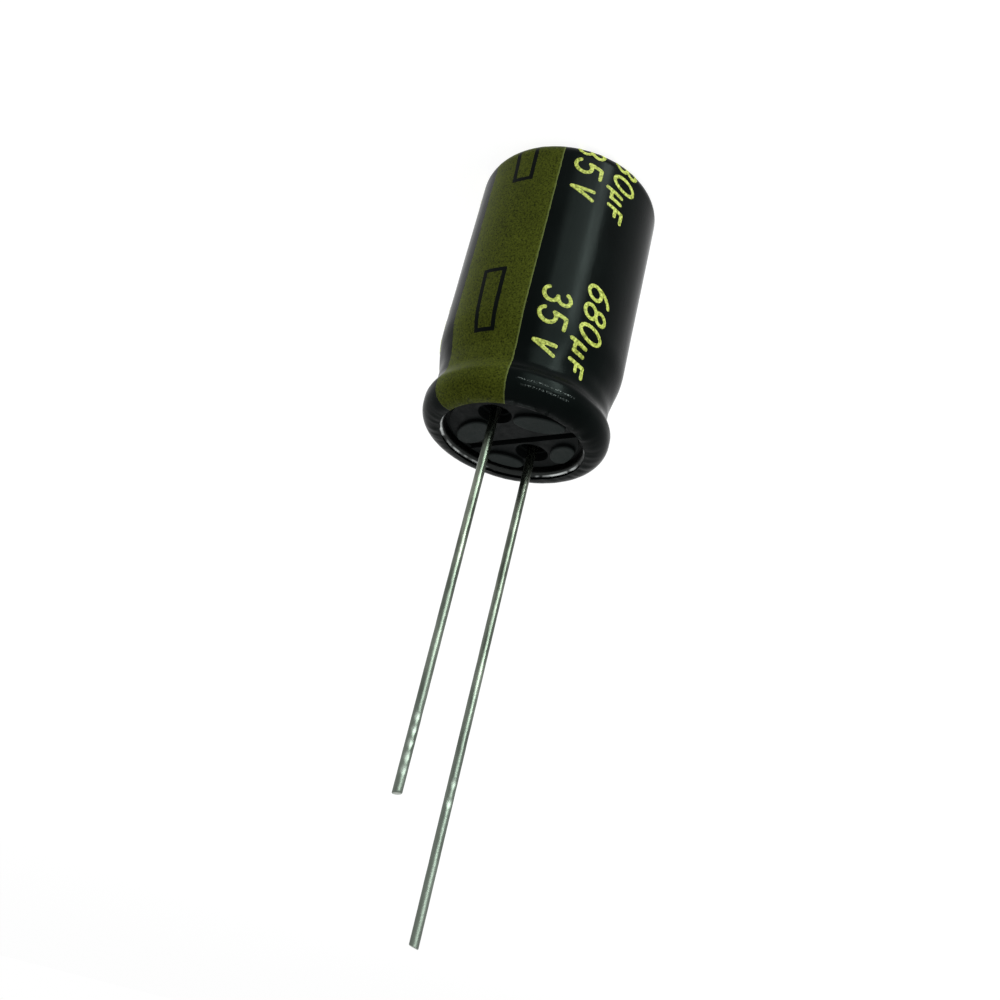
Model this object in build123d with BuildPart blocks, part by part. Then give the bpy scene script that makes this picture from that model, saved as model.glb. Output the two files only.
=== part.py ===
from build123d import *
from math import atan2, sqrt, tan
import os

# Radial aluminium electrolytic capacitor, standing on its closed end.
# Millimetres. Z = 0 is the face it stands on, +Z runs along the axis to the leads.
# The anode (+) lead is on the +X side, the cathode (-) lead on the -X side.

os.makedirs("parts", exist_ok=True)

# ---- Driving dimensions ----

# Drawn aluminium can, 12.5 x 20 case size
can_diameter = 12.5
can_length = 20.6
can_wall = 0.35
corner_inner_bend = 0.55  # between base and wall, on the inside
rim_inner_bend = 0.75     # where the wall turns in over the seal
lip_inner_bend = 0.05     # where the rolled edge turns down
rim_width = 1.53          # from the can's side in to the rolled edge
lip_drop = 0.75           # how far the rolled edge reaches down onto the seal

# Bead rolled into the wall to grip the seal
bead_depth = 1.0
rim_land = 0.069          # straight wall between the rim's bend and the bead
bead_root = 1.2           # straight length of the root
bead_lower_flank = 3.0
bead_upper_flank = 1.2
bead_inner_bend = 0.12    # tightest bend, where the seal lies against its crests

# Safety vent scored in the base
vent_length = 7.0
vent_width = 0.3
vent_depth = 0.15

# Heat-shrunk insulating sleeve
sleeve_wall = 0.13
sleeve_gap = 0.02
sleeve_base_lap = 1.25    # how far it laps onto the base, from the can's side
sleeve_rim_lap = 1.3      # how far it laps onto the rim
sleeve_dip = 0.47         # how far it is drawn into the bead
sleeve_dip_root = 1.4
sleeve_low_hold = 0.75    # how far past the bead's crests it still lies on the wall
sleeve_high_hold = 0.25
sleeve_dip_bends = (6.0, 3.0, 1.5, 0.8)

# Rubber seal
seal_height = 4.6
seal_gap = 0.03
seal_corner = 0.3
boss_margin = 0.3         # from the rolled edge in to the raised middle
boss_rise = 0.2           # above the ledge under the rolled edge
pad_rise = 0.3            # pads above the raised middle
pad_edge = 0.12
channel_width = 0.6
channel_depth = 0.5       # below the raised middle
channel_shift = 0.9       # towards the anode
well_diameter = 2.3       # wide mouth of each lead hole
well_depth = 0.6
anode_pad = (2.8, 2.3, 1.3, 0.8, 130)      # centre x, y, half length, half width, turn
cathode_pad = (-1.0, 2.6, 1.75, 0.95, 60)

# Terminals
lead_pitch = 5.0
lead_diameter = 0.6
anode_lead_length = 32.1      # from the rim to the tip
cathode_lead_length = 24.7
lead_tip_chamfer = 0.1
weld_height = 1.3             # tapered weld between stem and wire
weld_diameter = 0.9
stem_diameter = 1.8
stem_below_rim = 1.75         # rim to the end of the stem, where the wire is welded on
stem_below_seal = 0.5
head_space = 2.5              # winding to seal
tab_width = 2.4
tab_thickness = 0.35
tab_taper = 1.4               # from round stem to flat tab
tab_in_winding = 8.0
tab_gap = 0.03

# Wound foil and paper
winding_play = 0.25           # between the tape and the can
core_diameter = 1.5
tape_thickness = 0.08
tape_margin = 1.9             # winding's ends to the tape's edges
tape_gap = 0.02

# ---- Levels and radii that follow ----

sleeve_skin = sleeve_wall + sleeve_gap
can_radius = can_diameter / 2
can_corner = corner_inner_bend + can_wall
rim_bend = rim_inner_bend + can_wall
lip_bend = lip_inner_bend + can_wall
lip_radius = can_radius - rim_width
boss_radius = lip_radius - boss_margin
tape_radius = can_radius - can_wall - winding_play
winding_radius = tape_radius - tape_thickness - tape_gap
sleeve_radius = can_radius + sleeve_skin
can_base_z = sleeve_skin
can_top_z = can_base_z + can_length
rim_z = can_top_z + sleeve_skin
ledge_z = can_top_z - lip_drop - seal_gap
boss_z = ledge_z + boss_rise
pad_z = boss_z + pad_rise
seal_base_z = pad_z - seal_height
stem_top_z = rim_z - stem_below_rim
corner_reach = max(winding_radius - (can_radius - can_corner), 0)
corner_rise = corner_inner_bend - sqrt(corner_inner_bend**2 - corner_reach**2)
winding_base_z = can_base_z + can_wall + corner_rise
winding_top_z = seal_base_z - head_space

# Bead, down from the rim's bend
seal_inset = can_wall + seal_gap
bead_bend = bead_inner_bend + seal_inset
lower_flank_angle = atan2(bead_depth, bead_lower_flank)
upper_flank_angle = atan2(bead_depth, bead_upper_flank)
bead_high_crest = can_top_z - rim_bend - rim_land - bead_bend * tan(upper_flank_angle / 2)
bead_z = bead_high_crest - bead_upper_flank - bead_root / 2
bead_low_crest = bead_z - bead_root / 2 - bead_lower_flank


def neck_points(inset):
    """Corners of the bead, moved inwards from the can's outer skin by inset."""
    outer = can_radius - inset
    root = outer - bead_depth
    root_low = bead_z - bead_root / 2 - inset * tan(lower_flank_angle / 2)
    root_high = bead_z + bead_root / 2 + inset * tan(upper_flank_angle / 2)
    return [
        (outer, root_low - bead_lower_flank),
        (root, root_low),
        (root, root_high),
        (outer, root_high + bead_upper_flank),
    ]


def neck_bends(inset):
    """Bend radii at those corners: tighter on the crests, wider in the root."""
    crest = bead_bend - inset
    root = bead_bend + inset
    return [crest, root, root, crest]


# ---- Aluminium can ----

can_path = [(0, can_base_z), (can_radius, can_base_z)]
can_path += neck_points(0)
can_path += [(can_radius, can_top_z), (lip_radius, can_top_z), (lip_radius, can_top_z - lip_drop)]

with BuildPart() as aluminium_can:
    with BuildSketch(Plane.XZ):
        with BuildLine():
            FilletPolyline(*can_path, radius=[can_corner, *neck_bends(0), rim_bend, lip_bend])
            offset(amount=can_wall, side=Side.LEFT)
        make_face()
    revolve(axis=Axis.Z)
    with BuildSketch(Plane.XY.offset(can_base_z)):
        SlotOverall(vent_length, vent_width)
        SlotOverall(vent_length, vent_width, rotation=90)
    extrude(amount=vent_depth, mode=Mode.SUBTRACT)

aluminium_can.part.label = "aluminium_can"
export_step(aluminium_can.part, "parts/aluminium_can.step")


# ---- Insulating sleeve ----

sleeve_path = [
    (can_radius - sleeve_base_lap, 0),
    (sleeve_radius, 0),
    (sleeve_radius, bead_low_crest + sleeve_low_hold),
    (sleeve_radius - sleeve_dip, bead_z - sleeve_dip_root / 2),
    (sleeve_radius - sleeve_dip, bead_z + sleeve_dip_root / 2),
    (sleeve_radius, bead_high_crest - sleeve_high_hold),
    (sleeve_radius, rim_z),
    (can_radius - sleeve_rim_lap, rim_z),
]
sleeve_bends = [can_corner + sleeve_skin, *sleeve_dip_bends, rim_bend + sleeve_skin]

with BuildPart() as insulating_sleeve:
    with BuildSketch(Plane.XZ):
        with BuildLine():
            FilletPolyline(*sleeve_path, radius=sleeve_bends)
            offset(amount=sleeve_wall, side=Side.LEFT)
        make_face()
    revolve(axis=Axis.Z)

insulating_sleeve.part.label = "insulating_sleeve"
export_step(insulating_sleeve.part, "parts/insulating_sleeve.step")


# ---- Rubber seal ----

seal_radius = can_radius - seal_inset
below_neck_z = bead_low_crest - 2 * seal_corner
seal_outline = [(0, below_neck_z), (seal_radius, below_neck_z)]
seal_outline += neck_points(seal_inset)
seal_outline += [(seal_radius, ledge_z), (0, ledge_z)]
seal_bends = [seal_corner, *neck_bends(seal_inset), seal_corner]

with BuildPart() as rubber_bung:
    with BuildSketch(Plane.XZ):
        with BuildLine():
            FilletPolyline(*seal_outline, radius=seal_bends)
            Line(seal_outline[-1], seal_outline[0])
        make_face()
        with Locations((0, seal_base_z)):
            Rectangle(can_radius, seal_height, align=Align.MIN, mode=Mode.INTERSECT)
    revolve(axis=Axis.Z)
    with BuildSketch(Plane.XY.offset(ledge_z)):
        Circle(boss_radius)
    extrude(amount=boss_rise)
    with BuildSketch(Plane.XY.offset(boss_z)):
        for side in (1, -1):
            for pad_x, pad_y, half_length, half_width, turn in (anode_pad, cathode_pad):
                with Locations((pad_x, side * pad_y)):
                    Ellipse(half_length, half_width, rotation=side * turn)
        Circle(boss_radius - pad_edge, mode=Mode.INTERSECT)
    extrude(amount=pad_rise)
    pad_rims = rubber_bung.faces().filter_by_position(Axis.Z, pad_z, pad_z).edges()
    fillet(pad_rims, radius=pad_edge)
    with BuildSketch(Plane.XY.offset(boss_z - channel_depth)):
        with Locations((channel_shift, 0)):
            Rectangle(channel_width, 2 * boss_radius)
        Circle(boss_radius, mode=Mode.INTERSECT)
    extrude(amount=channel_depth + pad_rise, mode=Mode.SUBTRACT)
    with BuildSketch(Plane.XY.offset(pad_z)):
        with Locations((lead_pitch / 2, 0), (-lead_pitch / 2, 0)):
            Circle(well_diameter / 2)
    extrude(amount=-(pad_rise + well_depth), mode=Mode.SUBTRACT)
    with BuildSketch(Plane.XY.offset(seal_base_z)):
        with Locations((lead_pitch / 2, 0), (-lead_pitch / 2, 0)):
            Circle(stem_diameter / 2 + seal_gap)
    extrude(amount=seal_height, mode=Mode.SUBTRACT)

rubber_bung.part.label = "rubber_bung"
export_step(rubber_bung.part, "parts/rubber_bung.step")


# ---- Terminals: a flat tab with a round stem through the seal, and a tinned wire ----

tab_base_z = winding_top_z - tab_in_winding
tab_top_z = seal_base_z - stem_below_seal - tab_taper
terminals = [("anode", lead_pitch / 2, anode_lead_length), ("cathode", -lead_pitch / 2, cathode_lead_length)]

for name, place_x, lead_length in terminals:
    with BuildPart() as tab:
        with BuildSketch(Plane.XY.offset(tab_base_z)):
            with Locations((place_x, 0)):
                Rectangle(tab_thickness, tab_width)
        extrude(amount=tab_top_z - tab_base_z)
        with BuildSketch(Plane.XY.offset(tab_top_z)):
            with Locations((place_x, 0)):
                Rectangle(tab_thickness, tab_width)
        with BuildSketch(Plane.XY.offset(tab_top_z + tab_taper)):
            with Locations((place_x, 0)):
                Circle(stem_diameter / 2)
        loft()
        with BuildSketch(Plane.XY.offset(tab_top_z + tab_taper)):
            with Locations((place_x, 0)):
                Circle(stem_diameter / 2)
        extrude(amount=stem_top_z - tab_top_z - tab_taper)

    tab.part.label = f"{name}_tab"
    export_step(tab.part, f"parts/{name}_tab.step")

    with BuildPart() as lead:
        with BuildSketch(Plane.XY.offset(stem_top_z)):
            with Locations((place_x, 0)):
                Circle(weld_diameter / 2)
        with BuildSketch(Plane.XY.offset(stem_top_z + weld_height)):
            with Locations((place_x, 0)):
                Circle(lead_diameter / 2)
        loft()
        with BuildSketch(Plane.XY.offset(stem_top_z + weld_height)):
            with Locations((place_x, 0)):
                Circle(lead_diameter / 2)
        extrude(amount=rim_z + lead_length - stem_top_z - weld_height)
        chamfer(lead.edges().sort_by(Axis.Z)[-1], length=lead_tip_chamfer)

    lead.part.label = f"{name}_lead"
    export_step(lead.part, f"parts/{name}_lead.step")


# ---- Wound foils and paper, with the tape that closes the roll ----

with BuildPart() as wound_element:
    with BuildSketch(Plane.XY.offset(winding_base_z)):
        Circle(winding_radius)
        Circle(core_diameter / 2, mode=Mode.SUBTRACT)
    extrude(amount=winding_top_z - winding_base_z)
    with BuildSketch(Plane.XY.offset(tab_base_z - tab_gap)):
        with Locations((lead_pitch / 2, 0), (-lead_pitch / 2, 0)):
            Rectangle(tab_thickness + 2 * tab_gap, tab_width + 2 * tab_gap)
    extrude(amount=tab_in_winding + tab_gap, mode=Mode.SUBTRACT)

wound_element.part.label = "wound_element"
export_step(wound_element.part, "parts/wound_element.step")

with BuildPart() as winding_tape:
    with BuildSketch(Plane.XY.offset(winding_base_z + tape_margin)):
        Circle(tape_radius)
        Circle(tape_radius - tape_thickness, mode=Mode.SUBTRACT)
    extrude(amount=winding_top_z - winding_base_z - 2 * tape_margin)

winding_tape.part.label = "winding_tape"
export_step(winding_tape.part, "parts/winding_tape.step")
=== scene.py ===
import math
import bpy
from mathutils import Matrix, Vector, noise


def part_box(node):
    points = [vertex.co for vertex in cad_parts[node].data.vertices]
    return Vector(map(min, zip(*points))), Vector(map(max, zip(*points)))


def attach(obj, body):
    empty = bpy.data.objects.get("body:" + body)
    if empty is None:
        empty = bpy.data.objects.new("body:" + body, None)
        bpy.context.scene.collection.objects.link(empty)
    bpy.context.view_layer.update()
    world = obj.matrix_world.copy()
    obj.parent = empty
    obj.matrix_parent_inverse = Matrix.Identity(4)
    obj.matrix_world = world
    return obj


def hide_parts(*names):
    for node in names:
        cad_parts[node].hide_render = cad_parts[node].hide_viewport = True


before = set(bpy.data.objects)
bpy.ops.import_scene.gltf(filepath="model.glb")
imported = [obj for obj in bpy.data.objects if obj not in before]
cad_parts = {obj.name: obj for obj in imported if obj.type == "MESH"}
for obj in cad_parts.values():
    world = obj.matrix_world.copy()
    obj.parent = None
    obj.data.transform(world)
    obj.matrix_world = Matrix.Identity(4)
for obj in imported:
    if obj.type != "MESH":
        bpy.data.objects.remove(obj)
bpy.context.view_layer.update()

mm = 0.001  # lengths in the dictionaries are in mm, apart from the floor's and the lamps'
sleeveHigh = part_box("insulating_sleeve")[1]
filmRadius = sleeveHigh[0] / mm
filmTop = sleeveHigh[2] / mm


def clearSelection():
    if bpy.context.mode != "OBJECT":
        bpy.ops.object.mode_set(mode="OBJECT")
    bpy.ops.object.select_all(action="DESELECT")


def pickOnly(piece):
    clearSelection()
    piece.select_set(True)
    bpy.context.view_layer.objects.active = piece


def enterEdit(piece, mode="VERT"):
    pickOnly(piece)
    bpy.ops.object.mode_set(mode="EDIT")
    bpy.ops.mesh.select_mode(type=mode)


def leaveEdit():
    bpy.ops.object.mode_set(mode="OBJECT")


def applyAll(piece):
    pickOnly(piece)
    for modifier in list(piece.modifiers):
        bpy.ops.object.modifier_apply(modifier=modifier.name)


def settleMesh(piece, gap):
    enterEdit(piece)  # doubles first, then normals
    bpy.ops.mesh.select_all(action="SELECT")
    bpy.ops.mesh.remove_doubles(threshold=gap)
    bpy.ops.mesh.normals_make_consistent(inside=False)
    leaveEdit()


def handIn(piece, name, slotName, material, *nodes):
    piece.name = name
    piece.data.name = name
    piece.data.materials.clear()
    piece.data.materials.append(material)
    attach(piece, "root")
    if nodes:
        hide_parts(*nodes)


def easeStep(value, start, end):
    share = min(max((value - start) / (end - start), 0.0), 1.0)
    return share * share * (3.0 - 2.0 * share)


def startMaterial(name):
    material = bpy.data.materials.new(name)
    material.use_nodes = True
    nodes = material.node_tree.nodes
    shader = nodes["Principled BSDF"]
    return material, nodes, material.node_tree.links, shader


def placeNode(nodes, links, scale=(1.0, 1.0, 1.0)):
    coords = nodes.new("ShaderNodeTexCoord")
    mapping = nodes.new("ShaderNodeMapping")
    mapping.inputs["Scale"].default_value = scale
    links.new(coords.outputs["Object"], mapping.inputs["Vector"])
    return mapping.outputs["Vector"]


def noiseNode(nodes, links, vector, scale, detail=3.0, roughness=0.5):
    texture = nodes.new("ShaderNodeTexNoise")
    texture.inputs["Scale"].default_value = scale
    texture.inputs["Detail"].default_value = detail
    texture.inputs["Roughness"].default_value = roughness
    links.new(vector, texture.inputs["Vector"])
    return texture.outputs["Fac"]


def rangeNode(nodes, links, value, fromLow, fromHigh, toLow, toHigh):
    mapRange = nodes.new("ShaderNodeMapRange")
    mapRange.inputs["From Min"].default_value = fromLow
    mapRange.inputs["From Max"].default_value = fromHigh
    mapRange.inputs["To Min"].default_value = toLow
    mapRange.inputs["To Max"].default_value = toHigh
    links.new(value, mapRange.inputs["Value"])
    return mapRange.outputs["Result"]


def rampNode(nodes, links, value, stops):
    ramp = nodes.new("ShaderNodeValToRGB")
    elements = ramp.color_ramp.elements
    while len(elements) < len(stops):
        elements.new(0.5)
    for element, (place, color) in zip(elements, stops):
        element.position = place
        element.color = (*color, 1.0)
    links.new(value, ramp.inputs["Fac"])
    return ramp.outputs["Color"]


def mathNode(nodes, links, kind, first, second):
    node = nodes.new("ShaderNodeMath")
    node.operation = kind
    for socket, value in zip(node.inputs, (first, second)):
        if isinstance(value, (int, float)):
            socket.default_value = value
        else:
            links.new(value, socket)
    return node.outputs["Value"]


def mixColors(nodes, links, share, first, second, blend="MIX"):
    mix = nodes.new("ShaderNodeMix")
    mix.data_type = "RGBA"
    mix.blend_type = blend
    sockets = (mix.inputs["Factor"], mix.inputs[6], mix.inputs[7])  # the colour sockets share a name
    for socket, value in zip(sockets, (share, first, second)):
        if isinstance(value, (float, tuple)):
            socket.default_value = value
        else:
            links.new(value, socket)
    return mix.outputs[2]


def bumpNode(nodes, links, height, distance, strength=1.0, before=None):
    bump = nodes.new("ShaderNodeBump")
    bump.inputs["Distance"].default_value = distance
    bump.inputs["Strength"].default_value = strength
    links.new(height, bump.inputs["Height"])
    if before is not None:
        links.new(before, bump.inputs["Normal"])
    return bump.outputs["Normal"]


cameraSet = {
    "place": (-56.33, 42.67, 58.99),
    "aim": (9.99, -7.31, 19.28),
    "roll": -166.11,  # the leads point down and to the left
    "lens": 43.2,
    "clip": (0.001, 30.0),  # in metres
}


def addCamera():
    place = Vector(cameraSet["place"]) * mm
    aim = Vector(cameraSet["aim"]) * mm
    turn = (aim - place).to_track_quat("-Z", "Y").to_matrix()
    turn = turn @ Matrix.Rotation(math.radians(cameraSet["roll"]), 3, "Z")
    bpy.ops.object.camera_add(location=place, rotation=turn.to_euler())
    camera = bpy.context.object
    camera.data.lens = cameraSet["lens"]
    camera.data.sensor_width = 36.0
    camera.data.clip_start, camera.data.clip_end = cameraSet["clip"]
    bpy.context.scene.camera = camera
    print("camera placed")


filmSet = {
    "baseHole": 5.0,
    "wall": 0.13,
    "shoulder": 1.05,
    "beadRadius": 5.93,
    "beadHeights": (14.75, 16.9, 18.3, 19.15),  # both flanks of the bead, from the base up
    "beadBends": (6.0, 3.0, 1.5, 0.8),
    "rimEdge": 4.95,
    "rimBend": 1.25,
    "columns": 288,  # faces round the can
    "step": 0.17,  # longest face along the film
    "slack": 0.012,  # film not quite tight on the can
    "gather": 0.045,  # small pleats at both cut edges
    "dents": 0.05,  # only in the bead
    "creaseTurn": 131.0,  # where the rim's crest is creased and the painted glints face, in degrees
    "creaseReach": (6.06, 6.22),  # the creases and their painted glints fade in towards that side
    "creaseHeights": (19.72, 20.1),
    "creaseWidth": (0.03, 0.07),
    # pale colour of the painted glints on the creases
    "creaseGlintColor": (0.3, 0.33, 0.32, 1.0),
    "dark": (0.0011, 0.0019, 0.0018),
    "pale": (0.0024, 0.0038, 0.0036),
    "roughness": (0.17, 0.29),
    "ior": 1.1,  # a soft skin under a white sky
    "tint": (0.84, 1.0, 0.95, 1.0),
}


def filmCorners():
    # radius, height and bend of each corner, from the base hole to the rim's edge
    bead = filmSet["beadRadius"]
    flanks = zip((filmRadius, bead, bead, filmRadius), filmSet["beadHeights"], filmSet["beadBends"])
    return [
        (filmSet["baseHole"], 0.0, 0.0),
        (filmRadius, 0.0, filmSet["shoulder"]),
        *flanks,
        (filmRadius, filmTop, filmSet["rimBend"]),
        (filmSet["rimEdge"], filmTop, 0.0),
    ]


def roundedOutline(corners, step):
    # rounds the corners with arcs: each point has the length so far, its place and its normal
    points = []
    run = 0.0
    last = Vector(corners[0][:2])
    for index in range(1, len(corners)):
        corner = Vector(corners[index][:2])
        inward = (corner - last).normalized()
        cut = 0.0
        swing = 0.0
        if index < len(corners) - 1:
            outward = (Vector(corners[index + 1][:2]) - corner).normalized()
            swing = math.atan2(inward.x * outward.y - inward.y * outward.x, inward.dot(outward))
            cut = corners[index][2] * math.tan(abs(swing) / 2.0)
        start = corner - inward * cut
        reach = (start - last).length
        pieces = max(1, math.ceil(reach / step))
        for part in range(pieces):
            share = part / pieces
            points.append((run + reach * share, last.lerp(start, share), Vector((inward.y, -inward.x))))
        run += reach
        last = start
        if swing:
            bend = corners[index][2]
            side = Vector((-inward.y, inward.x)) * math.copysign(bend, swing)
            centre = start + side
            arcLength = bend * abs(swing)
            pieces = max(3, math.ceil(arcLength / step), math.ceil(abs(swing) / math.radians(9.0)))
            for part in range(pieces):
                turn = Matrix.Rotation(swing * part / pieces, 2)
                normal = turn @ Vector((inward.y, -inward.x))
                points.append((run + arcLength * part / pieces, centre + turn @ -side, normal))
            run += arcLength
            last = centre + Matrix.Rotation(swing, 2) @ -side
    direction = (Vector(corners[-1][:2]) - last).normalized()
    points.append((run, Vector(corners[-1][:2]), Vector((direction.y, -direction.x))))
    return points


outline = roundedOutline(filmCorners(), filmSet["step"])
filmLength = outline[-1][0]
wallShift = filmSet["shoulder"] * (math.pi / 2.0 - 2.0) + filmRadius - filmSet["baseHole"]
# on the straight wall, wallShift is the length along the film less the height


def outlineAt(along):
    along = min(max(along, 0.0), filmLength)
    low, high = 0, len(outline) - 1
    while high - low > 1:
        middle = (low + high) // 2
        if outline[middle][0] <= along:
            low = middle
        else:
            high = middle
    span = outline[high][0] - outline[low][0]
    share = (along - outline[low][0]) / span if span else 0.0
    place = outline[low][1].lerp(outline[high][1], share)
    normal = outline[low][2].lerp(outline[high][2], share).normalized()
    return place, normal


def filmRelief(turn, along):
    around = Vector((math.cos(turn), math.sin(turn), 0.0))
    slack = noise.noise(around * 2.3 + Vector((0.0, 0.0, along * 0.3))) * filmSet["slack"]
    rimShare = easeStep(along, filmLength - 1.5, filmLength - 0.1)
    baseShare = 1.0 - easeStep(along, 0.1, 1.8)
    pleats = noise.noise(around * 9.0 + Vector((3.7, 0.0, along * 0.4)))
    pleats += 0.5 * noise.noise(around * 22.0 + Vector((0.0, 8.1, along * 0.7)))
    beadShare = easeStep(along, wallShift + 15.2, wallShift + 16.6)
    beadShare *= 1.0 - easeStep(along, wallShift + 18.6, wallShift + 20.0)
    dents = noise.noise(around * 3.4 + Vector((5.0, 2.0, along * 0.55))) * filmSet["dents"]
    return slack + pleats * filmSet["gather"] * (rimShare + baseShare) + dents * beadShare


def filmPoint(turn, along, height):
    place, normal = outlineAt(along)
    place = place + normal * (height + filmRelief(turn, along))
    return Vector((place.x * math.cos(turn), place.x * math.sin(turn), place.y)) * mm


def wrapOnFilm(piece, lift):
    # a flat piece has x round the can from the stripe's middle, y along the film and z out of it
    for vertex in piece.data.vertices:
        across, along, height = vertex.co
        vertex.co = filmPoint(math.pi + across / filmRadius, along, height + lift)
    piece.data.update()


def filmMaterial():
    material, nodes, links, shader = startMaterial("blackSleeveFilm")
    plain = placeNode(nodes, links)
    stretched = placeNode(nodes, links, (1.0, 1.0, 0.12))
    cloud = noiseNode(nodes, links, plain, 300.0, 4.0, 0.6)
    color = rampNode(nodes, links, cloud, [(0.3, filmSet["dark"]), (0.7, filmSet["pale"])])
    marks = creaseGlintsAndRelief(nodes, links)
    # painted glints: pale dashes mixed into the film's colour on the creased crest
    glintedColor = mixColors(nodes, links, marks, color, filmSet["creaseGlintColor"])
    links.new(glintedColor, shader.inputs["Base Color"])
    rub = noiseNode(nodes, links, stretched, 1500.0, 5.0, 0.62)
    roughness = rangeNode(nodes, links, rub, 0.3, 0.7, *filmSet["roughness"])
    links.new(roughness, shader.inputs["Roughness"])
    shader.inputs["IOR"].default_value = filmSet["ior"]
    shader.inputs["Specular Tint"].default_value = filmSet["tint"]
    peel = noiseNode(nodes, links, plain, 2600.0, 2.0, 0.5)
    draw = noiseNode(nodes, links, stretched, 900.0, 3.0, 0.5)
    peelNormal = bumpNode(nodes, links, peel, 0.000012, 0.35)
    drawNormal = bumpNode(nodes, links, draw, 0.00002, 0.3, peelNormal)
    links.new(bumpNode(nodes, links, marks, 0.00003, 0.8, drawNormal), shader.inputs["Normal"])
    return material


def creaseGlintsAndRelief(nodes, links):
    # two dashed rows of small creases across the rim's crest, where the film was shrunk over it, with
    # painted glints: the same mask mixes pale dashes into the colour on the side facing the lamps and bumps
    # the creases
    coords = nodes.new("ShaderNodeTexCoord").outputs["Object"]
    facing = nodes.new("ShaderNodeVectorMath")
    facing.operation = "DOT_PRODUCT"
    toward = math.radians(filmSet["creaseTurn"])
    facing.inputs[1].default_value = (math.cos(toward), math.sin(toward), 0.0)
    links.new(coords, facing.inputs[0])
    split = nodes.new("ShaderNodeSeparateXYZ")
    links.new(coords, split.inputs["Vector"])
    near, far = filmSet["creaseReach"]
    side = rangeNode(nodes, links, facing.outputs["Value"], near * mm, far * mm, 0.0, 1.0)
    thin, wide = filmSet["creaseWidth"]
    rows = None
    for height in filmSet["creaseHeights"]:
        above = mathNode(nodes, links, "SUBTRACT", split.outputs["Z"], height * mm)
        away = mathNode(nodes, links, "ABSOLUTE", above, 0.0)
        row = rangeNode(nodes, links, away, thin * mm, wide * mm, 1.0, 0.0)
        rows = row if rows is None else mathNode(nodes, links, "MAXIMUM", rows, row)
    dashes = noiseNode(nodes, links, placeNode(nodes, links, (1.0, 1.0, 1.3)), 8500.0, 2.0, 0.6)
    dashes = rangeNode(nodes, links, dashes, 0.5, 0.66, 0.0, 1.0)
    shown = mathNode(nodes, links, "MULTIPLY", rows, side)
    return mathNode(nodes, links, "MULTIPLY", shown, dashes)


def addFilm(material):
    rows = len(outline) - 1
    bpy.ops.mesh.primitive_grid_add(x_subdivisions=filmSet["columns"], y_subdivisions=rows, size=1.0)
    film = bpy.context.object
    circle = 2.0 * math.pi * filmRadius
    for vertex in film.data.vertices:
        row = round((vertex.co.y + 0.5) * rows)
        vertex.co = (vertex.co.x * circle, outline[row][0], 0.0)
    wrapOnFilm(film, 0.0)
    settleMesh(film, 0.000002)
    solid = film.modifiers.new("filmWall", "SOLIDIFY")
    solid.thickness = filmSet["wall"] * mm
    solid.offset = -1.0
    applyAll(film)
    bpy.ops.object.shade_smooth_by_angle(angle=math.radians(50.0))
    handIn(film, "sleeve_film", "sleeve", material, "insulating_sleeve")
    print("sleeve film wrapped, length", round(filmLength, 2))


stripeSet = {
    "left": -2.86,  # from the middle over the cathode lead, round the can
    "right": 2.81,
    "lift": 0.006,
    "ragged": 0.035,
    "paintedEdgeHighlight": 0.45,  # painted highlight along the edge beside the rating, standing in for light on the ink's raised edge
    "barLift": 0.011,
    "barLine": 0.3,
    "barFirst": (-0.95, 0.85, 11.13),  # both sides at the end nearer the base, and its height
    "barSecond": (-1.05, 0.55, 16.15),
    "columns": 44,
    "barCuts": 23,
    "baseEdge": 0.05,  # bars stop this far short of the film's cut edge
    "repeat": 12.6,  # the print repeats along the can
    "ink": [(0.32, (0.012, 0.015, 0.0018)), (0.47, (0.056, 0.066, 0.0060)), (0.7, (0.100, 0.115, 0.0140))],
    # colour of the painted edge highlight
    "edgeHighlightColor": (0.30, 0.35, 0.12, 1.0),
    "roughness": (0.34, 0.5),
    "ior": 1.1,
    "tint": (0.84, 1.0, 0.95, 1.0),
}


def stripeMaterial():
    material, nodes, links, shader = startMaterial("oliveStripeInk")
    plain = placeNode(nodes, links)
    grain = noiseNode(nodes, links, plain, 8500.0, 3.0, 0.6)
    cloud = noiseNode(nodes, links, plain, 420.0, 4.0, 0.55)
    fine = rampNode(nodes, links, grain, stripeSet["ink"])
    shade = rampNode(nodes, links, cloud, [(0.25, (0.72, 0.72, 0.72)), (0.75, (1.0, 1.0, 1.0))])
    speckled = mixColors(nodes, links, 1.0, fine, shade, "MULTIPLY")
    # painted highlight along one long edge, read from a vertex attribute
    edge = nodes.new("ShaderNodeAttribute")
    edge.attribute_name = "paintedEdgeHighlight"
    edgeHighlighted = mixColors(nodes, links, edge.outputs["Fac"], speckled, stripeSet["edgeHighlightColor"])
    links.new(edgeHighlighted, shader.inputs["Base Color"])
    roughness = rangeNode(nodes, links, grain, 0.3, 0.7, *stripeSet["roughness"])
    links.new(roughness, shader.inputs["Roughness"])
    shader.inputs["IOR"].default_value = stripeSet["ior"]
    shader.inputs["Specular Tint"].default_value = stripeSet["tint"]
    links.new(bumpNode(nodes, links, grain, 0.00001, 0.35), shader.inputs["Normal"])
    return material


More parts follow.
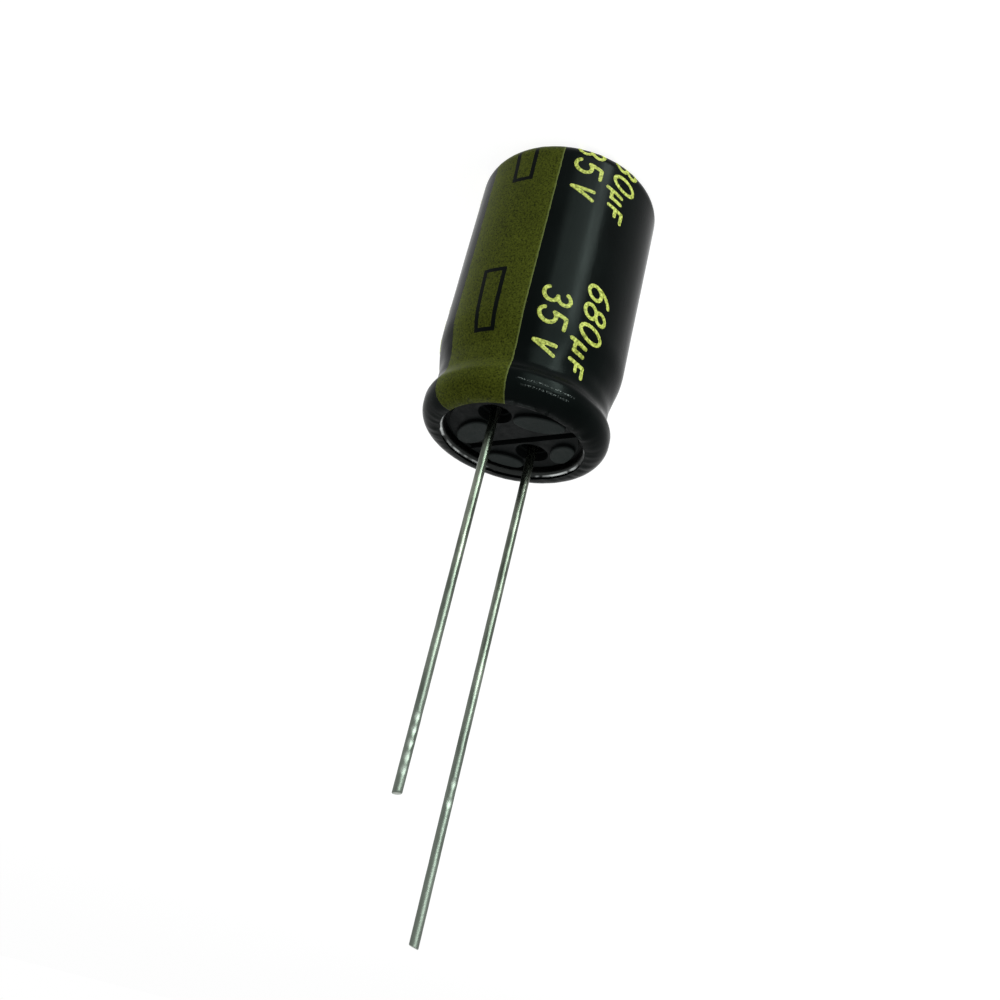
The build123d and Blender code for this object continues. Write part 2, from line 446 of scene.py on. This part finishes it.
def addStripe(material):
    width = stripeSet["right"] - stripeSet["left"]
    rows = len(outline) - 1
    bpy.ops.mesh.primitive_grid_add(x_subdivisions=stripeSet["columns"], y_subdivisions=rows, size=1.0)
    stripe = bpy.context.object
    pale = []
    for vertex in stripe.data.vertices:
        row = round((vertex.co.y + 0.5) * rows)
        share = vertex.co.x + 0.5
        # the first column of vertices carries the painted edge highlight
        pale.append(stripeSet["paintedEdgeHighlight"] if share < 0.0001 else 0.0)
        uneven = stripeSet["ragged"] if abs(vertex.co.x) > 0.4999 else 0.0  # only both long edges
        ragged = noise.noise(Vector((share * 9.0, outline[row][0] * 2.9, 1.0))) * uneven
        vertex.co = (stripeSet["left"] + width * share + ragged, outline[row][0], 0.0)
    wrapOnFilm(stripe, stripeSet["lift"])
    stripe.data.attributes.new("paintedEdgeHighlight", "FLOAT", "POINT").data.foreach_set("value", pale)
    pickOnly(stripe)
    bpy.ops.object.shade_smooth()
    handIn(stripe, "polarity_stripe", "stripe_print", material)
    print("stripe printed")


def addBar(drop, name, material):
    bpy.ops.mesh.primitive_plane_add(size=1.0)
    bar = bpy.context.object
    first = stripeSet["barFirst"]
    second = stripeSet["barSecond"]
    for vertex in bar.data.vertices:
        end = first if vertex.co.y < 0.0 else second
        across = end[0] if vertex.co.x < 0.0 else end[1]
        vertex.co = (across, end[2] + wallShift - drop, 0.0)
    enterEdit(bar, "FACE")
    bpy.ops.mesh.select_all(action="SELECT")
    bpy.ops.mesh.inset(thickness=stripeSet["barLine"], depth=0.0)
    bpy.ops.mesh.delete(type="FACE")  # the inset leaves the middle selected
    bpy.ops.mesh.select_all(action="SELECT")
    bpy.ops.mesh.subdivide(number_cuts=stripeSet["barCuts"])
    bpy.ops.mesh.select_all(action="SELECT")
    edge = (0.0, stripeSet["baseEdge"], 0.0)
    bpy.ops.mesh.bisect(plane_co=edge, plane_no=(0.0, -1.0, 0.0), clear_outer=True)
    leaveEdit()
    wrapOnFilm(bar, stripeSet["barLift"])
    pickOnly(bar)
    bpy.ops.object.shade_smooth()
    handIn(bar, name, "sleeve", material)


ratingSet = {
    "stroke": 0.29,
    "slant": 0.2,
    "inkHeight": 0.016,
    "voxel": 0.045,  # melts the strokes of a row together
    "rows": {
        # sign, its start along the can, its width, the row's foot and its height
        "voltage": [
            ("3", 12.36, 1.02, -3.83, 1.88), ("5", 13.95, 1.02, -3.83, 1.88), ("V", 16.2, 0.72, -3.9, 1.6)],
        "capacitance": [
            ("6", 10.94, 1.0, -6.78, 1.76), ("8", 12.46, 1.0, -6.78, 1.76), ("0", 13.99, 1.0, -6.78, 1.76),
            ("u", 15.58, 0.74, -6.78, 0.86), ("F", 16.86, 0.8, -6.72, 1.2)],
    },
    "repeat": 12.6,
    "columns": (0.0, 14.1),  # the second column starts past the stripe
    "pointGap": 0.03,
    "baseEdge": 0.03,  # figures stop this far short of the film's cut edge
    "thickness": 0.1,  # share by which the ink is thicker or thinner
    "ink": [(0.32, (0.13, 0.155, 0.012)), (0.48, (0.42, 0.465, 0.07)), (0.66, (0.74, 0.79, 0.2))],
    "roughness": (0.4, 0.6),
    "ior": 1.25,
}


def arcPoints(centre, size, startDegrees, endDegrees):
    count = max(6, round(abs(endDegrees - startDegrees) / 9.0))
    points = []
    for index in range(count + 1):
        angle = math.radians(startDegrees + (endDegrees - startDegrees) * index / count)
        points.append((centre[0] + size[0] * math.cos(angle), centre[1] + size[1] * math.sin(angle)))
    return points


def signStrokes(sign):
    # each sign in a box one wide and one high, as a list of strokes
    signs = {
        "0": [arcPoints((0.5, 0.5), (0.5, 0.5), 0, 360)],
        "3": [
            arcPoints((0.46, 0.76), (0.43, 0.24), 155, -90), arcPoints((0.46, 0.26), (0.5, 0.26), 90, -155)],
        "5": [
            [(0.95, 1.0), (0.2, 1.0)], [(0.2, 1.0), (0.12, 0.56)],
            arcPoints((0.47, 0.31), (0.5, 0.31), 132, -150)],
        "6": [arcPoints((0.5, 0.29), (0.5, 0.29), 0, 360), arcPoints((0.95, 0.3), (0.95, 0.72), 100, 178)],
        "8": [arcPoints((0.5, 0.76), (0.42, 0.24), 0, 360), arcPoints((0.5, 0.26), (0.5, 0.26), 0, 360)],
        "V": [[(0.0, 1.0), (0.36, 0.0)], [(0.36, 0.0), (1.0, 1.0)]],
        "u": [
            [(0.06, 1.0), (0.0, -0.45)], arcPoints((0.42, 0.38), (0.4, 0.38), 180, 300),
            [(0.85, 1.0), (0.86, 0.0)]],
        "F": [[(0.0, 0.0), (0.0, 1.0)], [(0.0, 1.0), (0.95, 1.0)], [(0.0, 0.52), (0.7, 0.52)]],
    }
    return signs[sign]


def evenPoints(points, step):
    even = [points[0]]
    for first, second in zip(points, points[1:]):
        count = max(1, math.ceil((second - first).length / step))
        even.extend(first.lerp(second, index / count) for index in range(1, count + 1))
    return even


def addStroke(curve, points):
    half = ratingSet["stroke"] / 2.0
    closed = (points[0] - points[-1]).length < 0.001
    if not closed:
        points = [points[0] + (points[0] - points[1]).normalized() * half, *points]
        points = [*points, points[-1] + (points[-1] - points[-2]).normalized() * half]
    points = evenPoints(points, ratingSet["pointGap"])
    if closed:
        points = points[:-1]
    spline = curve.splines.new("POLY")
    spline.points.add(len(points) - 1)
    spline.use_cyclic_u = closed
    for index, place in enumerate(points):
        tip = min((place - points[0]).length, (place - points[-1]).length)
        tuck = 1.0 - min(tip / half, 1.0)
        spline.points[index].co = (place.x, place.y, 0.0, 1.0)
        spline.points[index].radius = 1.0 if closed else max(0.05, math.sqrt(1.0 - tuck * tuck))


def addRow(name, signs, material):
    curve = bpy.data.curves.new(name, "CURVE")
    curve.dimensions = "3D"
    curve.bevel_depth = ratingSet["stroke"] / 2.0
    curve.bevel_resolution = 3
    curve.use_fill_caps = True
    for sign, start, width, foot, height in signs:
        for stroke in signStrokes(sign):
            places = []
            for x, y in stroke:
                along = start + wallShift + x * width + y * height * ratingSet["slant"]
                places.append(Vector((foot - y * height, along)))
            addStroke(curve, places)
    drawn = bpy.data.objects.new(name, curve)
    bpy.context.collection.objects.link(drawn)
    pickOnly(drawn)
    bpy.ops.object.convert(target="MESH")
    drawn = bpy.context.object
    melt = drawn.modifiers.new("meltStrokes", "REMESH")
    melt.mode = "VOXEL"
    melt.voxel_size = ratingSet["voxel"]
    applyAll(drawn)
    enterEdit(drawn)
    bpy.ops.mesh.select_all(action="SELECT")
    bpy.ops.mesh.bisect(plane_co=(0.0, 0.0, 0.0), plane_no=(0.0, 0.0, 1.0), clear_inner=True)
    leaveEdit()
    flatten = ratingSet["inkHeight"] / (ratingSet["stroke"] / 2.0)
    count = 0
    for column, shift in enumerate(ratingSet["columns"]):
        for repeat in range(2):
            copy = drawn.copy()
            copy.data = drawn.data.copy()
            bpy.context.collection.objects.link(copy)
            for vertex in copy.data.vertices:
                across, along, height = vertex.co
                patch = noise.noise(Vector((across * 4.0, along * 4.0, repeat * 5.0)))
                rough = 1.0 + ratingSet["thickness"] * patch
                vertex.co = (across + shift, along - ratingSet["repeat"] * repeat, height * flatten * rough)
            enterEdit(copy)
            bpy.ops.mesh.select_all(action="SELECT")
            edge = (0.0, ratingSet["baseEdge"], 0.0)
            bpy.ops.mesh.bisect(plane_co=edge, plane_no=(0.0, -1.0, 0.0), clear_outer=True)
            leaveEdit()
            wrapOnFilm(copy, 0.0)
            pickOnly(copy)
            bpy.ops.object.shade_smooth()
            handIn(copy, name + "_" + str(column + 1) + "_" + str(repeat + 1), "rating_print", material)
            count += 1
    bpy.data.objects.remove(drawn)
    print(name, "printed", count, "times")


def ratingMaterial():
    material, nodes, links, shader = startMaterial("paleYellowInk")
    plain = placeNode(nodes, links)
    grain = noiseNode(nodes, links, plain, 6200.0, 3.0, 0.65)
    color = rampNode(nodes, links, grain, ratingSet["ink"])
    links.new(color, shader.inputs["Base Color"])
    roughness = rangeNode(nodes, links, grain, 0.3, 0.7, *ratingSet["roughness"])
    links.new(roughness, shader.inputs["Roughness"])
    shader.inputs["IOR"].default_value = ratingSet["ior"]
    links.new(bumpNode(nodes, links, grain, 0.000012, 0.4), shader.inputs["Normal"])
    return material


leadSet = {
    "wire": 0.3,  # radii of the wire and of the stem below the weld
    "stem": 0.9,
    "stemEdge": 0.08,
    "stemTop": 19.15,
    "weldFoot": 0.45,
    "weldNeck": 0.34,
    "weldNeckDrop": 0.35,
    "weldTop": 20.45,
    "tipEdge": 0.04,  # the sheared edge is barely rounded
    "tipEdgeDrop": 0.05,
    "sides": 40,
    "ring": 0.12,  # height between rings
    "uneven": 0.006,
    "markDepth": 0.035,
    "markReach": (0.08, 0.26),
    "wires": {
        # how far the sheared end leans and to which side in degrees, then the pinch marks:
        # height, side in radians and strength
        "cathode_lead": (
            "cathode_wire", 0.1, 60.0, [(41.0 + 0.8 * step, 2.45, 0.3) for step in range(5)]),
        "anode_lead": ("anode_wire", 0.16, -120.0, [(44.6, 2.3, 0.25), (43.4, 2.35, 0.15)]),
    },
    "dulls": (34.0, 48.0),  # bright near the body, tarnished towards the tips
    "shiny": [(0.3, (0.030, 0.037, 0.028)), (0.5, (0.082, 0.096, 0.076)), (0.72, (0.23, 0.25, 0.205))],
    "tarnished": [(0.3, (0.078, 0.094, 0.078)), (0.7, (0.155, 0.178, 0.152))],
    "pinched": (0.34, 0.37, 0.335, 1.0),
    "roughness": (0.2, 0.36),
    "dullRoughness": 0.15,
}


def wireMaterial():
    material, nodes, links, shader = startMaterial("dullTinnedWire")
    plain = placeNode(nodes, links)
    drawnOut = placeNode(nodes, links, (1.0, 1.0, 0.18))
    split = nodes.new("ShaderNodeSeparateXYZ")
    links.new(plain, split.inputs["Vector"])
    handled = noiseNode(nodes, links, plain, 180.0, 2.0, 0.5)
    drift = mathNode(nodes, links, "MULTIPLY", handled, 0.01)
    height = mathNode(nodes, links, "ADD", split.outputs["Z"], drift)
    dullFrom, dullTo = leadSet["dulls"]
    dull = rangeNode(nodes, links, height, dullFrom * mm, dullTo * mm, 0.0, 1.0)
    cloud = noiseNode(nodes, links, drawnOut, 1300.0, 4.0, 0.6)
    shiny = rampNode(nodes, links, cloud, leadSet["shiny"])
    tarnished = rampNode(nodes, links, cloud, leadSet["tarnished"])
    color = mixColors(nodes, links, dull, shiny, tarnished)
    pinched = nodes.new("ShaderNodeAttribute")
    pinched.attribute_name = "pinched"
    bright = mixColors(nodes, links, pinched.outputs["Fac"], color, leadSet["pinched"])
    links.new(bright, shader.inputs["Base Color"])
    shader.inputs["Metallic"].default_value = 1.0
    streak = noiseNode(nodes, links, drawnOut, 2600.0, 3.0, 0.6)
    fresh = rangeNode(nodes, links, streak, 0.3, 0.7, *leadSet["roughness"])
    worn = mathNode(nodes, links, "MULTIPLY", dull, leadSet["dullRoughness"])
    links.new(mathNode(nodes, links, "ADD", fresh, worn), shader.inputs["Roughness"])
    pits = noiseNode(nodes, links, plain, 5200.0, 3.0, 0.6)
    pitNormal = bumpNode(nodes, links, pits, 0.00002, 0.5)
    links.new(bumpNode(nodes, links, streak, 0.00003, 0.45, pitNormal), shader.inputs["Normal"])
    return material


def leadRings(top):
    # height and radius of each ring, from the stem's end to the tip
    stem, wire, weldTop = leadSet["stem"], leadSet["wire"], leadSet["weldTop"]
    rings = [
        (leadSet["stemTop"] - leadSet["stemEdge"], stem),
        (leadSet["stemTop"], stem - leadSet["stemEdge"]),
        (leadSet["stemTop"], leadSet["weldFoot"]),
        (weldTop - leadSet["weldNeckDrop"], leadSet["weldNeck"]),
        (weldTop, wire),
    ]
    count = int((top - weldTop) / leadSet["ring"])
    for index in range(1, count + 1):
        rings.append((weldTop + (top - leadSet["tipEdgeDrop"] - weldTop) * index / count, wire))
    rings.append((top, wire - leadSet["tipEdge"]))
    return rings


def addLead(node):
    low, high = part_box(node)
    centre = Vector(((low[0] + high[0]) / 2.0, (low[1] + high[1]) / 2.0, 0.0))
    radius = leadSet["stem"]
    foot = (centre.x, centre.y, low[2])
    bpy.ops.mesh.primitive_circle_add(
        vertices=leadSet["sides"], radius=radius * mm, fill_type="NGON", location=foot)
    lead = bpy.context.object
    bpy.ops.object.transform_apply(location=True, rotation=True, scale=True)
    enterEdit(lead)
    bpy.ops.mesh.select_all(action="SELECT")
    height = low[2] / mm
    for nextHeight, nextRadius in leadRings(high[2] / mm):
        rise = (0.0, 0.0, (nextHeight - height) * mm)
        bpy.ops.mesh.extrude_region_move(TRANSFORM_OT_translate={"value": rise})
        share = nextRadius / radius
        middle = (centre.x, centre.y, nextHeight * mm)
        bpy.ops.transform.resize(value=(share, share, 1.0), center_override=middle)
        height, radius = nextHeight, nextRadius
    leaveEdit()
    settleMesh(lead, 0.0000005)
    return lead, centre


def finishLead(lead, centre, node, material):
    # small unevenness, the pinch marks near the tip and the sheared end
    name, lean, leanTurn, marks = leadSet["wires"][node]
    leanWay = Vector((math.cos(math.radians(leanTurn)), math.sin(math.radians(leanTurn)), 0.0))
    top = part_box(node)[1][2]
    wire = leadSet["wire"]
    pinched = []
    for vertex in lead.data.vertices:
        place = vertex.co / mm
        side = Vector((place.x - centre.x / mm, place.y - centre.y / mm, 0.0))
        bright = 0.0
        if place.z > leadSet["weldTop"] + 0.2:
            direction = side.normalized()
            uneven = noise.noise(direction * 1.4 + Vector((0.0, 0.0, place.z * 0.8))) * leadSet["uneven"]
            finer = noise.noise(direction * 2.5 + Vector((4.0, 0.0, place.z * 3.1)))
            uneven += finer * leadSet["uneven"] * 0.6
            place = place + direction * uneven
            for markHeight, markAngle, markStrength in marks:
                across = direction.angle(Vector((math.cos(markAngle), math.sin(markAngle), 0.0))) * wire
                away = math.hypot(across, (place.z - markHeight) * 0.7)
                near = 1.0 - easeStep(away, *leadSet["markReach"])
                place = place - direction * leadSet["markDepth"] * near
                bright = max(bright, markStrength * near)
            if vertex.co.z > top - 0.00001:
                bright = 1.0  # the bare sheared end
            tipShare = easeStep(place.z, top / mm - 0.5, top / mm)
            place.z -= tipShare * lean * (0.5 + 0.5 * side.dot(leanWay) / wire)
        pinched.append(bright)
        vertex.co = place * mm
    lead.data.attributes.new("pinched", "FLOAT", "POINT").data.foreach_set("value", pinched)
    lead.data.update()
    pickOnly(lead)
    bpy.ops.object.shade_smooth_by_angle(angle=math.radians(40.0))
    handIn(lead, name, "tinned_wire", material, node)
    print(name, "drawn")


canSet = {
    "dark": (0.56, 0.58, 0.58),
    "pale": (0.72, 0.73, 0.73),
    "roughness": (0.24, 0.42),
    "shadedLipFrom": (19.0, 19.6),  # painted shade round the seal from here up, where the rubber darkens the lip
    "lipPaintedShade": (0.022, 0.024, 0.023),
    "crestHighlightFrom": (20.61, 20.66),  # painted highlight in patches on its crest
    "crestPaintedHighlight": (0.55, 0.58, 0.57),
}


def canMaterial():
    material, nodes, links, shader = startMaterial("drawnAluminium")
    plain = placeNode(nodes, links)
    drawn = placeNode(nodes, links, (1.0, 0.06, 0.4))
    cloud = noiseNode(nodes, links, plain, 260.0, 4.0, 0.6)
    color = rampNode(nodes, links, cloud, [(0.3, canSet["dark"]), (0.7, canSet["pale"])])
    split = nodes.new("ShaderNodeSeparateXYZ")
    links.new(plain, split.inputs["Vector"])
    height = split.outputs["Z"]
    # painted highlight: bright patches on the lip's crest
    crestFoot, crestTop = canSet["crestHighlightFrom"]
    crest = rangeNode(nodes, links, height, crestFoot * mm, crestTop * mm, 0.0, 1.0)
    highlightBreaks = noiseNode(nodes, links, plain, 420.0, 3.0, 0.6)
    highlightPatches = rangeNode(nodes, links, highlightBreaks, 0.47, 0.6, 0.0, 1.0)
    bright = mathNode(nodes, links, "MULTIPLY", crest, highlightPatches)
    lipShadeAndHighlight = rampNode(nodes, links, bright, [(0.0, canSet["lipPaintedShade"]), (1.0, canSet["crestPaintedHighlight"])])
    # painted shade over the lip, with the painted highlight on its crest
    lipFoot, lipTop = canSet["shadedLipFrom"]
    paintedLipShare = rangeNode(nodes, links, height, lipFoot * mm, lipTop * mm, 0.0, 1.0)
    links.new(mixColors(nodes, links, paintedLipShare, color, lipShadeAndHighlight), shader.inputs["Base Color"])
    shader.inputs["Metallic"].default_value = 1.0
    lines = noiseNode(nodes, links, drawn, 9000.0, 4.0, 0.65)
    roughness = rangeNode(nodes, links, lines, 0.3, 0.7, *canSet["roughness"])
    links.new(roughness, shader.inputs["Roughness"])
    links.new(bumpNode(nodes, links, lines, 0.00001, 0.35), shader.inputs["Normal"])
    return material


sealSet = {
    "dark": (0.005, 0.006, 0.006),
    "litPadTop": (0.024, 0.029, 0.028),
    "litPadFrom": (20.36, 20.45),  # painted light on the pad tops, speckled
    "roughness": (0.5, 0.75),
    "ior": 1.15,
}


def rubberMaterial():
    material, nodes, links, shader = startMaterial("mouldedSealRubber")
    coords = nodes.new("ShaderNodeTexCoord")
    split = nodes.new("ShaderNodeSeparateXYZ")
    links.new(coords.outputs["Object"], split.inputs["Vector"])
    padFoot, padCrest = sealSet["litPadFrom"]
    litPadTop = rangeNode(nodes, links, split.outputs["Z"], padFoot * mm, padCrest * mm, 0.0, 1.0)
    grain = noiseNode(nodes, links, coords.outputs["Object"], 1500.0, 5.0, 0.65)
    specks = rangeNode(nodes, links, grain, 0.25, 0.75, 0.55, 1.0)
    # painted light: the pad tops are made lighter than the rubber around them
    padLight = mathNode(nodes, links, "MULTIPLY", litPadTop, specks)
    color = rampNode(nodes, links, padLight, [(0.0, sealSet["dark"]), (1.0, sealSet["litPadTop"])])
    links.new(color, shader.inputs["Base Color"])
    roughness = rangeNode(nodes, links, grain, 0.3, 0.7, *sealSet["roughness"])
    links.new(roughness, shader.inputs["Roughness"])
    shader.inputs["IOR"].default_value = sealSet["ior"]
    fine = noiseNode(nodes, links, coords.outputs["Object"], 6000.0, 3.0, 0.6)
    grainNormal = bumpNode(nodes, links, fine, 0.00002, 0.5)
    links.new(bumpNode(nodes, links, grain, 0.00004, 0.4, grainNormal), shader.inputs["Normal"])
    return material


layerSet = {
    # dark and pale colour, cloud scale, roughness and metal share
    "windingTapeFilm": ((0.42, 0.3, 0.09), (0.6, 0.46, 0.16), 500.0, (0.3, 0.45), 0.0),
    "flattenedTabMetal": ((0.5, 0.51, 0.52), (0.68, 0.69, 0.7), 700.0, (0.35, 0.5), 1.0),
}


def layerMaterial(name):
    dark, pale, scale, roughness, metallic = layerSet[name]
    material, nodes, links, shader = startMaterial(name)
    plain = placeNode(nodes, links)
    cloud = noiseNode(nodes, links, plain, scale, 5.0, 0.6)
    links.new(rampNode(nodes, links, cloud, [(0.3, dark), (0.7, pale)]), shader.inputs["Base Color"])
    links.new(rangeNode(nodes, links, cloud, 0.3, 0.7, *roughness), shader.inputs["Roughness"])
    shader.inputs["Metallic"].default_value = metallic
    links.new(bumpNode(nodes, links, cloud, 0.00002, 0.4), shader.inputs["Normal"])
    return material


windingSet = {
    "rings": 1200.0,
    "foil": (0.2, 0.19, 0.17),
    "paper": (0.58, 0.5, 0.37),
    "roughness": 0.7,
}


def windingMaterial():
    # foil and paper edges as fine rings round the axis
    material, nodes, links, shader = startMaterial("foilAndPaperRoll")
    plain = placeNode(nodes, links)
    rings = nodes.new("ShaderNodeTexWave")
    rings.wave_type = "RINGS"
    rings.rings_direction = "Z"
    rings.inputs["Scale"].default_value = windingSet["rings"]
    rings.inputs["Distortion"].default_value = 0.6
    links.new(plain, rings.inputs["Vector"])
    stops = [(0.35, windingSet["foil"]), (0.6, windingSet["paper"])]
    links.new(rampNode(nodes, links, rings.outputs["Fac"], stops), shader.inputs["Base Color"])
    shader.inputs["Roughness"].default_value = windingSet["roughness"]
    links.new(bumpNode(nodes, links, rings.outputs["Fac"], 0.00002, 0.5), shader.inputs["Normal"])
    return material


def dressNode(name, material):
    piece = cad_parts[name]
    if not piece.material_slots:
        piece.data.materials.append(material)
    for holder in piece.material_slots:
        holder.material = material


stageSet = {
    "floorSize": 12.0,
    "floorDrop": 0.00004,
    "shadowShare": 0.3,  # how much of the lamps' shading the white floor shows
    "glow": 1.31,  # brings the floor away from the shadow back to white
    "ambient": 0.25,
    "floorColor": (0.95, 0.95, 0.95, 1.0),
    "worldColor": (1.0, 1.0, 1.0, 1.0),
}


def backgroundRays(nodes, links):
    rays = nodes.new("ShaderNodeLightPath")
    seen = mathNode(nodes, links, "MAXIMUM", rays.outputs["Is Camera Ray"], rays.outputs["Is Glossy Ray"])
    return mathNode(nodes, links, "MAXIMUM", seen, rays.outputs["Is Transmission Ray"])


def addStage():
    place = (0.0, 0.0, -stageSet["floorDrop"])
    bpy.ops.mesh.primitive_plane_add(size=stageSet["floorSize"], location=place)
    floor = bpy.context.object
    floor.name = "floor"
    floor.visible_shadow = False  # lamps on the part's lower side reach it
    floor.visible_glossy = False  # the world, just as white, shows there instead
    material, nodes, links, shader = startMaterial("whiteFloor")
    shader.inputs["Base Color"].default_value = stageSet["floorColor"]
    shader.inputs["Roughness"].default_value = 0.9
    shader.inputs["Specular IOR Level"].default_value = 0.0
    glow = nodes.new("ShaderNodeEmission")
    glow.inputs["Strength"].default_value = stageSet["glow"]
    seen = backgroundRays(nodes, links)
    share = mathNode(nodes, links, "MULTIPLY", seen, 1.0 - stageSet["shadowShare"])
    mix = nodes.new("ShaderNodeMixShader")
    links.new(share, mix.inputs["Fac"])
    links.new(shader.outputs["BSDF"], mix.inputs[1])
    links.new(glow.outputs["Emission"], mix.inputs[2])
    links.new(mix.outputs["Shader"], nodes["Material Output"].inputs["Surface"])
    floor.data.materials.append(material)
    world = bpy.data.worlds.new("whiteStudio")
    world.use_nodes = True
    nodes, links = world.node_tree.nodes, world.node_tree.links
    seen = backgroundRays(nodes, links)
    strength = rangeNode(nodes, links, seen, 0.0, 1.0, stageSet["ambient"], 1.0)
    links.new(strength, nodes["Background"].inputs["Strength"])
    nodes["Background"].inputs["Color"].default_value = stageSet["worldColor"]
    bpy.context.scene.world = world
    bpy.context.scene.view_settings.view_transform = "Standard"
    print("floor and world set")


lampColor = (0.9, 1.0, 0.96)
lampAim = (0.0, 0.0, 0.011)  # the middle of the can
lampSet = {
    # azimuth and elevation seen from the part, distance, width and height in metres, brightness
    # against white, whether it lights matt surfaces, and whether it shines in glossy ones
    "narrowStrip": (107.0, -26.0, 0.5, 0.09, 0.4, 19.0, True, True),
    "wideSoft": (127.0, -24.0, 0.5, 0.26, 0.4, 6.5, False, True),
    "leftSoft": (268.0, -10.0, 0.5, 0.3, 0.4, 11.0, True, False),
    "topSoft": (60.0, 60.0, 0.6, 0.5, 0.5, 1.5, True, False),
    "lipSpark": (323.0, 45.0, 0.5, 0.07, 0.07, 4.0, True, True),
}


def addLamps():
    aim = Vector(lampAim)
    for name, (azimuth, elevation, distance, width, height, brightness, matt, gloss) in lampSet.items():
        turn, rise = math.radians(azimuth), math.radians(elevation)
        away = Vector((math.cos(turn) * math.cos(rise), math.sin(turn) * math.cos(rise), math.sin(rise)))
        facing = (-away).to_track_quat("-Z", "Y").to_euler()
        bpy.ops.object.light_add(type="AREA", location=aim + away * distance, rotation=facing)
        lamp = bpy.context.object
        lamp.name = name
        lamp.data.shape = "RECTANGLE"
        lamp.data.color = lampColor
        lamp.data.size = width
        lamp.data.size_y = height
        lamp.data.energy = brightness * math.pi * width * height
        lamp.visible_camera = False
        lamp.visible_diffuse = matt
        lamp.visible_glossy = gloss
    print("lamps hung")


clearSelection()
addCamera()
addStage()
addLamps()

sleeveFilm = filmMaterial()
addFilm(sleeveFilm)
addStripe(stripeMaterial())
for barIndex in range(2):
    addBar(stripeSet["repeat"] * barIndex, "polarity_bar_" + str(barIndex + 1), sleeveFilm)
print("bars printed")
ratingInk = ratingMaterial()
for rowName, rowSigns in ratingSet["rows"].items():
    addRow(rowName + "_print", rowSigns, ratingInk)

wireFinish = wireMaterial()
for leadNode in leadSet["wires"]:
    wirePiece, wireCentre = addLead(leadNode)
    finishLead(wirePiece, wireCentre, leadNode, wireFinish)

dressNode("aluminium_can", canMaterial())
dressNode("rubber_bung", rubberMaterial())
dressNode("wound_element", windingMaterial())
dressNode("winding_tape", layerMaterial("windingTapeFilm"))
tabMetal = layerMaterial("flattenedTabMetal")
for tabName in ("anode_tab", "cathode_tab"):
    dressNode(tabName, tabMetal)
print("metal, rubber and inner pieces dressed")

clearSelection()
